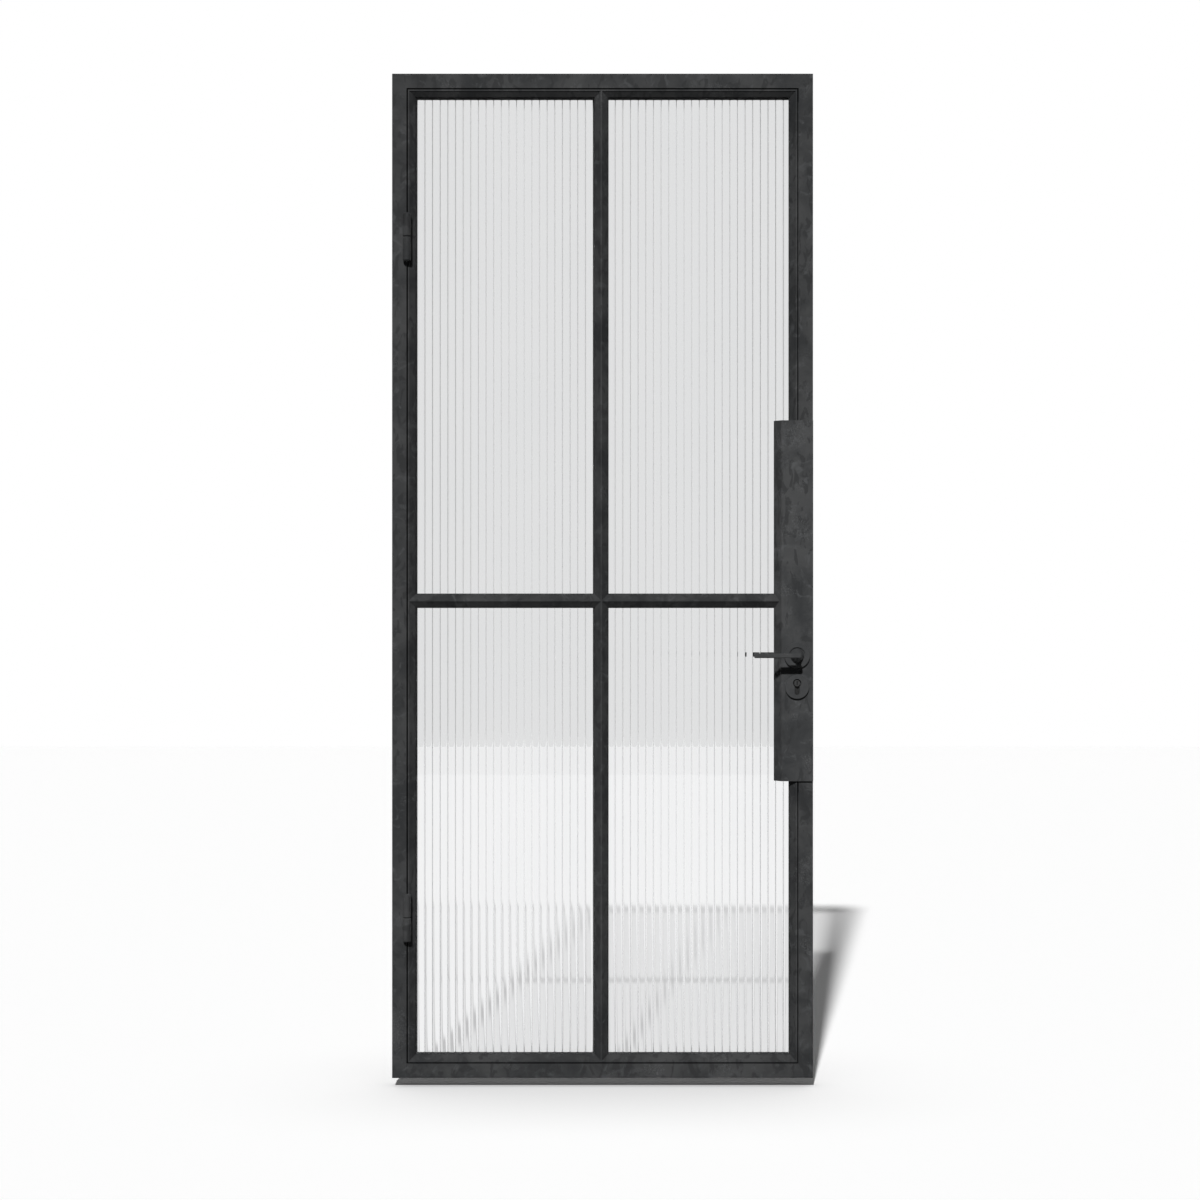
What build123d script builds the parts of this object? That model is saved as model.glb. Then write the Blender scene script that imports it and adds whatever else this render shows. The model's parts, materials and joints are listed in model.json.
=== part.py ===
from build123d import *
import os
from math import ceil, hypot

os.makedirs("parts", exist_ok=True)

# Glazed steel door in a steel frame. Lengths are in millimetres.
# X runs to the right seen from the front, Y from front to back and Z up.
# The origin is the middle of the sill's underside.

# Fixed frame: flat bars welded into angles, mitred at the corners
frame_width = 880.0
frame_height = 2100.0
frame_depth = 50.0
face_width = 30.0
frame_wall = 5.0
anchor_pitch = 600.0
anchor_radius = 4.25
anchor_inset = 7.5

# Stop bars and the seals on them
stop_reach = 40.0
stop_thickness = 3.0
stop_gap = 2.0
seal_width = 8.0
seal_inset = 2.0
seal_clearance = 0.3
stop_lock_lap = 10.0

# Leaf: mitred angles round the edge, tees between the panes
leaf_gap = 3.0
leaf_depth = 30.0
leaf_wall = 3.0
mullion_offset = -2.5
muntin_height = 998.0

# Glazing
bead_width = 13.7
bead_drop = 1.0
bead_slope_depth = 8.5
bead_nose_width = 2.7
glass_setback = 14.0
glass_thickness = 8.0
glass_edge_gap = 3.0
reed_pitch = 16.0
reed_height = 2.3
reed_flat_width = 4.8
reed_start_shares = {"left": 0.8, "right": 0.55}
tape_width = 9.0
block_length = 60.0
block_place_share = 0.22

# Lock box on the leaf, whose front plate laps over the lock jamb
lock_box_above_spindle = 491.0
lock_box_below_spindle = 263.0
lock_box_reach = 81.0
lock_box_slope_run = 14.6
lock_box_proud = 5.0
lock_sheet = 3.0
edge_setback = 11.0
edge_end_inset = 10.0
notch_clearance = 5.0
glass_lap = 10.5
post_radius = 5.0
post_tap_radius = 2.1
post_inset = 8.0
post_end_inset = 28.0
post_case_clearance = 68.0
cover_screw_radius = 2.0
cover_screw_length = 12.0
cover_screw_head_radius = 4.5
cover_screw_head_height = 2.6
screw_clearance = 0.25

# Lock case and forend
spindle_inset = 34.0
spindle_height = 884.0
case_length = 42.0
case_thickness = 16.0
case_wall = 1.5
case_above_spindle = 46.0
case_below_cylinder = 42.0
case_middle_setback = 14.0
forend_thickness = 2.0
forend_width = 24.0
forend_overlap = 14.0
forend_screw_inset = 5.0
forend_screw_radius = 2.0
forend_head_radius = 3.6
forend_head_depth = 1.2
bolt_clearance = 0.4

# Latch bolt above the spindle, dead bolt between spindle and cylinder
latch_rise = 22.0
latch_height = 16.0
latch_thickness = 12.0
latch_tip_clearance = 0.5
latch_nose_flat = 4.0
latch_nose_run = 8.5
latch_head_length = 21.5
latch_tail_thickness = 2.5
latch_hook_length = 3.5
latch_hook_play = 2.2
latch_hook_drop = 5.0
dead_bolt_drop = 28.0
dead_bolt_height = 20.0
dead_bolt_thickness = 10.0
dead_bolt_length = 18.5
dead_bolt_recess = 0.5
dead_bolt_tail_length = 20.0
dead_bolt_tail_thickness = 5.0
dead_bolt_talon_width = 4.0

# Follower and spindle
spindle_side = 8.0
spindle_play = 0.1
spindle_depth_in_neck = 14.0
follower_radius = 10.0
follower_play = 0.1
follower_arm_width = 6.0
follower_arm_thickness = 6.0
follower_arm_reach = 18.0

# Roses, escutcheons and levers, alike on both faces
rose_radius = 27.0
rose_thickness = 6.0
rose_edge = 1.0
rose_web = 3.0
rose_recess_radius = 17.0
neck_radius = 8.5
neck_play = 0.5
neck_seat_clearance = 0.3
neck_flare_radius = 14.25
neck_flare_height = 5.0
neck_taper_end = 32.0
lever_standoff = 40.5
lever_bar_depth = 9.0
lever_bar_height = 9.4
lever_length = 92.0
lever_edge = 1.5
lever_heel_radius = 4.2
lever_tip_radius = 2.4
escutcheon_radius = 25.0
escutcheon_thickness = 6.0
escutcheon_play = 0.2

# Profile cylinder
cylinder_drop = 58.0
cylinder_head_radius = 8.5
cylinder_leg_half_width = 5.0
cylinder_height = 33.0
cylinder_recess = 7.5
plug_recess = 0.3
plug_radius = 6.5
plug_play = 0.05
cam_gap = 10.0
cam_play = 0.2
cam_hub_radius = 8.0
cam_reach = 15.0
cam_width = 8.0
bridge_clearance = 0.8
keyway_width = 1.6
keyway_height = 8.5
keyway_depth = 14.0
retaining_screw_radius = 2.5

# Strike plate, let into the lock jamb
strike_thickness = 2.0
strike_width = 24.0
strike_margin = 20.0
strike_clearance = 1.5
strike_screw_radius = 2.0
strike_screw_inset = 7.0

# Weld-on hinges
hinge_bottom_height = 336.0
hinge_top_drop = 342.5
knuckle_radius = 8.7
knuckle_length = 49.5
knuckle_clearance = 0.3
knuckle_edge = 1.9
hinge_offset = 1.6
hinge_foot_width = 5.0
washer_thickness = 1.0
washer_inset = 2.3
pin_radius = 4.5
pin_reach = 40.0
pin_play = 0.05
pin_end_play = 1.0

# Cuts run past the faces that they open by this much
overrun = 1.0

# Places worked out from the sizes above
front = -frame_depth / 2
back = frame_depth / 2
half_width = frame_width / 2
frame_rect = (-half_width, half_width, 0, frame_height)
leaf_margin = face_width + leaf_gap
leaf_back = front + leaf_depth
flange_front = leaf_back - leaf_wall
flange_width = leaf_wall + bead_width
glass_front = front + glass_setback
glass_back = glass_front + glass_thickness
stop_front = leaf_back + stop_gap

box_low = spindle_height - lock_box_below_spindle
box_high = spindle_height + lock_box_above_spindle
box_left = half_width - lock_box_reach
plate_front = front - lock_box_proud
plate_back = plate_front + lock_sheet
edge_right = half_width - edge_setback
edge_left = edge_right - lock_sheet
edge_low = box_low + edge_end_inset
edge_high = box_high - edge_end_inset

spindle_x = half_width - spindle_inset
cylinder_z = spindle_height - cylinder_drop
escutcheon_z = cylinder_z + cylinder_head_radius - cylinder_height / 2
case_y = front + case_middle_setback
case_span = (case_y - case_thickness / 2, case_y + case_thickness / 2)
case_right = edge_left
case_left = case_right - case_length
case_low = cylinder_z - case_below_cylinder
case_high = spindle_height + case_above_spindle
forend_right = edge_right + forend_thickness
jamb_inside = half_width - frame_wall

latch_z = spindle_height + latch_rise
latch_tip = half_width - latch_tip_clearance
dead_bolt_z = spindle_height - dead_bolt_drop
dead_bolt_tip = forend_right - dead_bolt_recess

hinge_heights = (hinge_bottom_height, frame_height - hinge_top_drop)
hinge_x = -half_width + face_width + hinge_offset
hinge_y = front - knuckle_radius - knuckle_clearance

SIDES = ("bottom", "right", "top", "left")


def block(x, y, z):
    """Box between a low and a high value on each axis."""
    spans = (x, y, z)
    sizes = [high - low for low, high in spans]
    middles = [(low + high) / 2 for low, high in spans]
    return Pos(*middles) * Box(*sizes)


def about(middle, size):
    """Span of a given size about a middle."""
    return (middle - size / 2, middle + size / 2)


def prism_x(points, x):
    """Outline of (y, z) points, drawn out along X."""
    plane = Plane(origin=(x[0], 0, 0), x_dir=(0, 1, 0), z_dir=(1, 0, 0))
    face = plane * make_face(Polyline(*points, close=True))
    return extrude(face, x[1] - x[0], dir=(1, 0, 0))


def prism_y(points, y):
    """Outline of (x, z) points, drawn out along Y."""
    plane = Plane(origin=(0, y[0], 0), x_dir=(1, 0, 0), z_dir=(0, -1, 0))
    face = plane * make_face(Polyline(*points, close=True))
    return extrude(face, y[1] - y[0], dir=(0, 1, 0))


def prism_z(points, z):
    """Outline of (x, y) points, drawn out along Z."""
    face = Pos(0, 0, z[0]) * make_face(Polyline(*points, close=True))
    return extrude(face, z[1] - z[0], dir=(0, 0, 1))


def rod_x(radius, x, y, z):
    """Round bar along X between two x values."""
    return Pos(sum(x) / 2, y, z) * Rot(0, 90, 0) * Cylinder(radius, x[1] - x[0])


def rod_y(radius, x, y, z):
    """Round bar along Y between two y values."""
    return Pos(x, sum(y) / 2, z) * Rot(90, 0, 0) * Cylinder(radius, y[1] - y[0])


def rod_z(radius, x, y, z):
    """Round bar along Z between two z values."""
    return Pos(x, y, sum(z) / 2) * Cylinder(radius, z[1] - z[0])


def group(pieces):
    """Several separate solids in one node."""
    return Compound([solid for piece in pieces for solid in piece.solids()])


def inset(rect, margin):
    """Rectangle (x low, x high, z low, z high) drawn in by a margin."""
    return (rect[0] + margin, rect[1] - margin, rect[2] + margin, rect[3] - margin)


def corners(rect):
    """Corners of a rectangle, anticlockwise from the lower left."""
    return [
        (rect[0], rect[2]),
        (rect[1], rect[2]),
        (rect[1], rect[3]),
        (rect[0], rect[3]),
    ]


def mitred_side(rect, width, side):
    """Outline of one side of a mitred ring that lies inside a rectangle."""
    outer = corners(rect)
    inner = corners(inset(rect, width))
    start = SIDES.index(side)
    end = (start + 1) % len(SIDES)
    return [outer[start], outer[end], inner[end], inner[start]]


leaf_rect = inset(frame_rect, leaf_margin)


def face_bar(side):
    """Flat bar that shows in front, beside the wall bar."""
    outline = mitred_side(inset(frame_rect, frame_wall), face_width - frame_wall, side)
    return prism_y(outline, (front, front + frame_wall))


def wall_bar(side):
    """Flat bar along the outer edge, from front to back."""
    return prism_y(mitred_side(frame_rect, frame_wall, side), (front, back))


def frame_angle(side):
    """Frame member: a face bar welded to a wall bar."""
    return group([face_bar(side), wall_bar(side)])


def anchor_holes(x):
    """Row of wall anchor holes through a jamb's wall leg."""
    places = [frame_height / 2 + anchor_pitch * step / 2 for step in (-3, -1, 1, 3)]
    return [rod_x(anchor_radius, x, back - anchor_inset, z) for z in places]


def hinge_jamb():
    wall = wall_bar("left")
    for hole in anchor_holes((-half_width - overrun, -jamb_inside + overrun)):
        wall -= hole
    return group([face_bar("left"), wall])


def strike_span():
    """Height range of the strike plate."""
    return (
        dead_bolt_z - dead_bolt_height / 2 - strike_margin,
        latch_z + latch_height / 2 + strike_margin,
    )


def strike_openings(x):
    """Holes for the latch and the dead bolt."""
    latch = block(
        x,
        about(case_y, latch_thickness + 2 * strike_clearance),
        about(latch_z, latch_height + 2 * strike_clearance),
    )
    bolt = block(
        x,
        about(case_y, dead_bolt_thickness + 2 * strike_clearance),
        about(dead_bolt_z, dead_bolt_height + 2 * strike_clearance),
    )
    return latch + bolt


def strike_screw_places():
    low, high = strike_span()
    return (low + strike_screw_inset, high - strike_screw_inset)


def lock_jamb():
    """Wall bar cut for the strike, with a face bar above and below the lock box."""
    wall = wall_bar("right")
    for hole in anchor_holes((jamb_inside - overrun, half_width + overrun)):
        wall -= hole
    wall -= block(
        (jamb_inside - overrun, jamb_inside + strike_thickness),
        about(case_y, strike_width),
        strike_span(),
    )
    wall -= strike_openings((jamb_inside, half_width + overrun))
    for z in strike_screw_places():
        wall -= rod_x(strike_screw_radius, (jamb_inside, half_width + overrun), case_y, z)
    gap = block(
        (half_width - face_width - overrun, jamb_inside),
        (front - overrun, front + frame_wall + overrun),
        (edge_low - notch_clearance, edge_high + notch_clearance),
    )
    return group([wall, face_bar("right") - gap])


def strike_plate():
    x = (jamb_inside, jamb_inside + strike_thickness)
    cut = (x[0] - overrun, x[1] + overrun)
    plate = block(x, about(case_y, strike_width), strike_span())
    plate -= strike_openings(cut)
    for z in strike_screw_places():
        plate -= rod_x(strike_screw_radius, cut, case_y, z)
    return plate


def strike_screws():
    x = (jamb_inside, half_width)
    return group([rod_x(strike_screw_radius, x, case_y, z) for z in strike_screw_places()])


def stop_bar(side):
    """Flat bar behind the leaf, standing in from the wall leg."""
    outline = mitred_side(inset(frame_rect, frame_wall), stop_reach, side)
    return prism_y(outline, (stop_front, stop_front + stop_thickness))


def seal_strip(side):
    """Rubber strip on the front of a stop bar."""
    margin = frame_wall + stop_reach - seal_inset - seal_width
    outline = mitred_side(inset(frame_rect, margin), seal_width, side)
    return prism_y(outline, (leaf_back + seal_clearance, stop_front))


def above_lock(shape):
    """Part of a stop that ends behind the top of the lock box."""
    low = box_high - stop_lock_lap
    keep = block((0, frame_width), (front, back), (low, frame_height))
    return shape & keep


def below_lock(shape):
    """Part of a stop that ends behind the foot of the lock box."""
    high = box_low + stop_lock_lap
    keep = block((0, frame_width), (front, back), (0, high))
    return shape & keep


def stop_seals():
    lock_side = seal_strip("right")
    whole = [seal_strip(side) for side in ("bottom", "top", "left")]
    return group(whole + [above_lock(lock_side), below_lock(lock_side)])


def leaf_angle(side):
    """Leaf edge member: web along the outer edge, flange behind the glass."""
    whole = prism_y(mitred_side(leaf_rect, flange_width, side), (front, leaf_back))
    hollow = mitred_side(inset(leaf_rect, leaf_wall), bead_width, side)
    return whole - prism_y(hollow, (front, flange_front))


def lock_stile(part_of_height):
    """Length of the lock stile above or below the lock box."""
    keep = block((0, frame_width), (front, leaf_back), part_of_height)
    return leaf_angle("right") & keep


web_left = mullion_offset - leaf_wall / 2
web_right = mullion_offset + leaf_wall / 2
web_under = muntin_height - leaf_wall / 2
web_over = muntin_height + leaf_wall / 2
leaf_inside = inset(leaf_rect, leaf_wall)
leaf_daylight = inset(leaf_rect, flange_width)
bar_half_flange = leaf_wall / 2 + bead_width


def mullion():
    """Upright tee between the rails, with its flange coped to theirs."""
    web = block((web_left, web_right), (front, flange_front), leaf_inside[2:])
    flange = block(
        about(mullion_offset, 2 * bar_half_flange),
        (flange_front, leaf_back),
        leaf_daylight[2:],
    )
    return web + flange


def muntin(web_span, flange_span):
    """Level tee between the mullion and the leaf's edge."""
    web = block(web_span, (front, flange_front), (web_under, web_over))
    flange = block(
        flange_span, (flange_front, leaf_back), about(muntin_height, 2 * bar_half_flange)
    )
    return web + flange


def lock_box_outline():
    """Section of the lock box in front of the glass, seen from above."""
    return [
        (box_left, glass_front),
        (box_left + lock_box_slope_run, plate_front),
        (half_width, plate_front),
        (half_width, glass_front),
    ]


def lock_box_body():
    """Room that the lock box takes up in front of the glass."""
    return prism_z(lock_box_outline(), (box_low, box_high))


def muntin_left():
    web_span = (leaf_inside[0], web_left)
    flange_span = (leaf_daylight[0], mullion_offset - bar_half_flange)
    return muntin(web_span, flange_span)


def muntin_right():
    """Tee that runs into the sloped side of the lock box."""
    web_span = (web_right, box_left + glass_lap)
    flange_span = (mullion_offset + bar_half_flange, box_left)
    return muntin(web_span, flange_span) - lock_box_body()


# Openings between the webs, one for each pane
pane_rects = {
    "upper_left": (leaf_inside[0], web_left, web_over, leaf_inside[3]),
    "upper_right": (web_right, leaf_inside[1], web_over, leaf_inside[3]),
    "lower_left": (leaf_inside[0], web_left, leaf_inside[2], web_under),
    "lower_right": (web_right, leaf_inside[1], leaf_inside[2], web_under),
}


def bead(rect, side):
    """Glazing bead with a slope, a steep nose and mitred ends."""
    crest = front + bead_drop
    section = [
        (0, crest),
        (bead_width - bead_nose_width, crest + bead_slope_depth),
        (bead_width, glass_front),
        (0, glass_front),
    ]
    x_low, x_high, z_low, z_high = rect
    if side == "left":
        bar = prism_z([(x_low + u, y) for u, y in section], (z_low, z_high))
    elif side == "right":
        bar = prism_z([(x_high - u, y) for u, y in section], (z_low, z_high))
    elif side == "bottom":
        bar = prism_x([(y, z_low + u) for u, y in section], (x_low, x_high))
    else:
        bar = prism_x([(y, z_high - u) for u, y in section], (x_low, x_high))
    return bar & prism_y(mitred_side(rect, bead_width, side), (crest, glass_front))


def beads(pane):
    """The four beads of a pane, cut back where the lock box stands."""
    bars = [bead(pane_rects[pane], side) for side in SIDES]
    if pane.endswith("right"):
        bars = [bar - lock_box_body() for bar in bars]
    return group(bars)


def pane_notch(margin, y):
    """Part of a right-hand pane that is cut away for the lock box."""
    return block(
        (box_left + margin, half_width),
        y,
        (box_low + margin, box_high - margin),
    )


def reeded_pane(pane):
    """Glass sheet, flat in front, with upright reeds behind that are rounded beside a flat top."""
    x_low, x_high, z_low, z_high = inset(pane_rects[pane], glass_edge_gap)
    valley = glass_back - reed_height
    first = x_low + reed_pitch * (reed_start_shares[pane.split("_")[1]] - 1)
    count = ceil((x_high - first) / reed_pitch)
    edges = [first + reed_pitch * step for step in range(count + 1)]
    outline = [
        Line((edges[0], valley), (edges[0], glass_front)),
        Line((edges[0], glass_front), (edges[-1], glass_front)),
        Line((edges[-1], glass_front), (edges[-1], valley)),
    ]
    for low, high in zip(edges, edges[1:]):
        flat_low, flat_high = about((low + high) / 2, reed_flat_width)
        outline.append(TangentArc((flat_low, glass_back), (low, valley), tangent=(-1, 0)))
        outline.append(Line((flat_low, glass_back), (flat_high, glass_back)))
        outline.append(TangentArc((flat_high, glass_back), (high, valley), tangent=(1, 0)))
    face = Pos(0, 0, z_low) * make_face(outline)
    sheet = extrude(face, z_high - z_low, dir=(0, 0, 1))
    sheet &= block((x_low, x_high), (glass_front, glass_back), (z_low, z_high))
    if pane.endswith("right"):
        sheet -= pane_notch(glass_lap, (glass_front - overrun, glass_back + overrun))
    return sheet


def glazing_tape(pane):
    """Tape between the back of a pane and the flanges."""
    y = (glass_back, flange_front)
    rect = inset(pane_rects[pane], glass_edge_gap)
    outside = prism_y(corners(rect), y)
    inside = prism_y(corners(inset(rect, tape_width)), y)
    if pane.endswith("right"):
        outside -= pane_notch(glass_lap, y)
        inside -= pane_notch(glass_lap - tape_width, y)
    return outside - inside


def setting_blocks():
    """Blocks that carry the lower edge of each pane."""
    blocks = []
    for pane, (x_low, x_high, z_low, z_high) in pane_rects.items():
        width = x_high - x_low
        for share in (block_place_share, 1 - block_place_share):
            x = about(x_low + width * share, block_length)
            blocks.append(block(x, (glass_front, glass_back), (z_low, z_low + glass_edge_gap)))
    return group(blocks)


def euro_profile(y, play):
    """Outline of the profile cylinder, drawn out along Y."""
    leg_z = cylinder_z + cylinder_head_radius - cylinder_height + cylinder_leg_half_width
    leg_half = cylinder_leg_half_width + play
    head = rod_y(cylinder_head_radius + play, spindle_x, y, cylinder_z)
    foot = rod_y(leg_half, spindle_x, y, leg_z)
    leg = block(about(spindle_x, 2 * leg_half), y, (leg_z, cylinder_z))
    return head + leg + foot


def lock_passages(y):
    """Holes that the levers' spindle and the cylinder need."""
    neck = rod_y(neck_radius + neck_play, spindle_x, y, spindle_height)
    return neck + euro_profile(y, escutcheon_play)


def lock_box_shell():
    """Folded front sheet: sloped side, front plate and two flat ends."""
    run = lock_box_slope_run
    rise = glass_front - plate_front
    side_shift = lock_sheet * hypot(run, rise) / rise
    inner_foot = box_left + side_shift
    inner_break = inner_foot + run * (glass_front - plate_back) / rise
    section = lock_box_outline()[:3]
    section += [
        (half_width, plate_back),
        (inner_break, plate_back),
        (inner_foot, glass_front),
    ]
    shell = prism_z(section, (box_low, box_high))
    end_section = lock_box_outline()[:2]
    end_section += [(leaf_rect[1], plate_front), (leaf_rect[1], glass_front)]
    shell += prism_z(end_section, (box_low, box_low + lock_sheet))
    shell += prism_z(end_section, (box_high - lock_sheet, box_high))
    return shell - lock_passages((plate_front - overrun, plate_back + overrun))


def latch_section():
    """Latch head seen from above, with the slope on its rear side."""
    low, high = about(case_y, latch_thickness)
    return [
        (latch_tip - latch_head_length, low),
        (latch_tip, low),
        (latch_tip, low + latch_nose_flat),
        (latch_tip - latch_nose_run, high),
        (latch_tip - latch_head_length, high),
    ]


def bolt_openings(x):
    """Holes in the forend and the edge channel for the two bolts."""
    latch = block(
        x,
        about(case_y, latch_thickness + 2 * bolt_clearance),
        about(latch_z, latch_height + 2 * bolt_clearance),
    )
    bolt = block(
        x,
        about(case_y, dead_bolt_thickness + 2 * bolt_clearance),
        about(dead_bolt_z, dead_bolt_height + 2 * bolt_clearance),
    )
    return latch + bolt


forend_span = (case_low - forend_overlap, case_high + forend_overlap)
forend_screw_places = (
    forend_span[0] + forend_screw_inset,
    forend_span[1] - forend_screw_inset,
)
bridge_top = cylinder_z - cam_reach - bridge_clearance
bridge_bottom = cylinder_z + cylinder_head_radius - cylinder_height
retaining_z = (bridge_top + bridge_bottom) / 2


def forend_screw_holes(x):
    holes = [rod_x(forend_screw_radius, x, case_y, z) for z in forend_screw_places]
    holes.append(rod_x(retaining_screw_radius, x, case_y, retaining_z))
    return holes


def forend_head_holes():
    x = (forend_right - forend_head_depth, forend_right + overrun)
    places = (*forend_screw_places, retaining_z)
    return [rod_x(forend_head_radius, x, case_y, z) for z in places]


def lock_box_edge():
    """Channel that closes the edge of the lock box, with short ends."""
    y = (plate_back, flange_front)
    edge = block((edge_left, edge_right), y, (edge_low, edge_high))
    end_x = (leaf_rect[1] - leaf_wall, edge_left)
    edge += block(end_x, y, (edge_low, edge_low + lock_sheet))
    edge += block(end_x, y, (edge_high - lock_sheet, edge_high))
    cut = (edge_left - overrun, edge_right + overrun)
    edge -= bolt_openings(cut)
    for hole in forend_screw_holes(cut):
        edge -= hole
    return edge


post_columns = (box_left + glass_lap + post_radius + post_inset, edge_left - post_inset)
post_rows = (
    edge_low + post_end_inset,
    case_high + post_case_clearance,
    edge_high - post_end_inset,
)
post_places = [(x, z) for x in post_columns for z in post_rows]


def lock_box_cover():
    """Flat rear cover, narrower at its ends to pass the lock jamb."""
    outline = [
        (box_left, box_low),
        (leaf_rect[1], box_low),
        (leaf_rect[1], edge_low),
        (edge_right, edge_low),
        (edge_right, edge_high),
        (leaf_rect[1], edge_high),
        (leaf_rect[1], box_high),
        (box_left, box_high),
    ]
    cut = (flange_front - overrun, leaf_back + overrun)
    cover = prism_y(outline, (flange_front, leaf_back)) - lock_passages(cut)
    for x, z in post_places:
        cover -= rod_y(cover_screw_radius + screw_clearance, x, cut, z)
    return cover


def cover_posts():
    """Tapped posts that carry the rear cover."""
    tap = (leaf_back - cover_screw_length, flange_front + overrun)
    posts = []
    for x, z in post_places:
        post = rod_y(post_radius, x, (plate_back, flange_front), z)
        posts.append(post - rod_y(post_tap_radius, x, tap, z))
    return group(posts)


def cover_screws():
    head_top = leaf_back + cover_screw_head_height
    shank = (leaf_back - cover_screw_length, leaf_back)
    screws = []
    for x, z in post_places:
        head = rod_y(cover_screw_head_radius, x, (leaf_back, head_top), z)
        screws.append(head + rod_y(cover_screw_radius, x, shank, z))
    return group(screws)


def follower_hole(y):
    return rod_y(follower_radius + follower_play, spindle_x, y, spindle_height)


def lock_case():
    """Tray of the lock case, open to the rear."""
    outside = ((case_left, case_right), (case_low, case_high))
    inner_x = (case_left + case_wall, case_right - case_wall)
    inner_z = (case_low + case_wall, case_high - case_wall)
    depth = (case_span[0], case_span[1] - case_wall)
    case = block(outside[0], depth, outside[1])
    case -= block(inner_x, (case_span[0] + case_wall, case_span[1]), inner_z)
    floor_cut = (case_span[0] - overrun, case_span[0] + case_wall + overrun)
    case -= follower_hole(floor_cut)
    case -= euro_profile(floor_cut, escutcheon_play)
    edge_cut = (case_right - case_wall - overrun, case_right + overrun)
    case -= bolt_openings(edge_cut)
    return case - rod_x(retaining_screw_radius, edge_cut, case_y, retaining_z)


def lock_case_cover():
    y = (case_span[1] - case_wall, case_span[1])
    cut = (y[0] - overrun, y[1] + overrun)
    cover = block((case_left, case_right), y, (case_low, case_high))
    return cover - follower_hole(cut) - euro_profile(cut, escutcheon_play)


def lock_forend():
    x = (edge_right, forend_right)
    cut = (x[0] - overrun, x[1] + overrun)
    forend = block(x, about(case_y, forend_width), forend_span) - bolt_openings(cut)
    for hole in forend_screw_holes(cut) + forend_head_holes():
        forend -= hole
    return forend


def forend_screw(shank_radius, tip, z):
    """Flush screw that goes in through the forend."""
    neck = forend_right - forend_head_depth
    head = rod_x(forend_head_radius, (neck, forend_right), case_y, z)
    return head + rod_x(shank_radius, (tip, neck), case_y, z)


def forend_screws():
    return group([forend_screw(forend_screw_radius, edge_left, z) for z in forend_screw_places])


def cylinder_screw():
    return forend_screw(retaining_screw_radius, spindle_x - cylinder_leg_half_width, retaining_z)


def latch_bolt():
    """Sloped latch head with a tail and a hook that the follower draws."""
    z = about(latch_z, latch_height)
    head = prism_z(latch_section(), z)
    hook_right = spindle_x - follower_arm_width / 2 - latch_hook_play
    hook_x = (hook_right - latch_hook_length, hook_right)
    tail_high = case_y + latch_thickness / 2
    tail_y = (tail_high - latch_tail_thickness, tail_high)
    tail = block((hook_x[0], latch_tip - latch_head_length), tail_y, z)
    hook_y = (case_y - follower_arm_thickness / 2, tail_high)
    hook = block(hook_x, hook_y, (z[0] - latch_hook_drop, z[1]))
    return head + tail + hook


def dead_bolt():
    """Dead bolt with a tail that reaches down to the cylinder's cam."""
    z = about(dead_bolt_z, dead_bolt_height)
    head_x = (dead_bolt_tip - dead_bolt_length, dead_bolt_tip)
    head = block(head_x, about(case_y, dead_bolt_thickness), z)
    tail_x = (head_x[0] - dead_bolt_tail_length, head_x[0])
    tail_y = about(case_y, dead_bolt_tail_thickness)
    tail = block(tail_x, tail_y, about(dead_bolt_z, dead_bolt_height - 2 * bridge_clearance))
    talon_low = cylinder_z + cam_reach + bridge_clearance
    talon = block((tail_x[0], tail_x[0] + dead_bolt_talon_width), tail_y, (talon_low, dead_bolt_z))
    return head + tail + talon


def follower():
    """Hub on the spindle with the arm that draws the latch."""
    hub = rod_y(follower_radius, spindle_x, case_span, spindle_height)
    arm_y = about(case_y, follower_arm_thickness)
    arm_z = (spindle_height, spindle_height + follower_arm_reach)
    hub += block(about(spindle_x, follower_arm_width), arm_y, arm_z)
    side = spindle_side + 2 * spindle_play
    cut = (case_span[0] - overrun, case_span[1] + overrun)
    return hub - block(about(spindle_x, side), cut, about(spindle_height, side))


# Outer faces that the front and rear fittings stand on, with their outward directions
FITTING_FACES = {"front": (plate_front, -1), "rear": (leaf_back, 1)}


def outward(face, start, end):
    """Span along Y between two heights above a fitting face."""
    base, direction = FITTING_FACES[face]
    return tuple(sorted((base + direction * start, base + direction * end)))


def round_plate(face, radius, thickness, z):
    """Disc on a fitting face, with its outer rim chamfered."""
    disc = rod_y(radius, spindle_x, outward(face, 0, thickness), z)
    rims = disc.edges().filter_by(GeomType.CIRCLE).sort_by(Axis.Y)
    return chamfer(rims[0] if face == "front" else rims[-1], rose_edge)


def rose(face):
    """Round rose, sunk in the middle for the flare of the lever's neck."""
    top = rose_thickness + overrun
    disc = round_plate(face, rose_radius, rose_thickness, spindle_height)
    disc -= rod_y(rose_recess_radius, spindle_x, outward(face, rose_web, top), spindle_height)
    bore = outward(face, -overrun, top)
    return disc - rod_y(neck_radius + neck_play, spindle_x, bore, spindle_height)


def escutcheon(face):
    """Round plate that frames the cylinder."""
    disc = round_plate(face, escutcheon_radius, escutcheon_thickness, escutcheon_z)
    cut = outward(face, -overrun, escutcheon_thickness + overrun)
    return disc - euro_profile(cut, escutcheon_play)


def lever_neck(face):
    """Turned neck: a journal in the rose, then a flare that tapers to the bar's height."""
    base, direction = FITTING_FACES[face]
    thin = lever_bar_height / 2
    seat = rose_web + neck_seat_clearance
    outline = [
        (0, 0),
        (neck_radius, 0),
        (neck_radius, seat),
        (neck_flare_radius, seat),
        (neck_flare_radius, neck_flare_height),
        (thin, neck_taper_end),
        (thin, lever_standoff),
        (0, lever_standoff),
    ]
    points = [(spindle_x + radius, base + direction * height) for radius, height in outline]
    axis = Axis((spindle_x, base, 0), (0, 1, 0))
    turned = revolve(make_face(Polyline(*points, close=True)), axis)
    return Pos(0, 0, spindle_height) * turned


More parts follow.
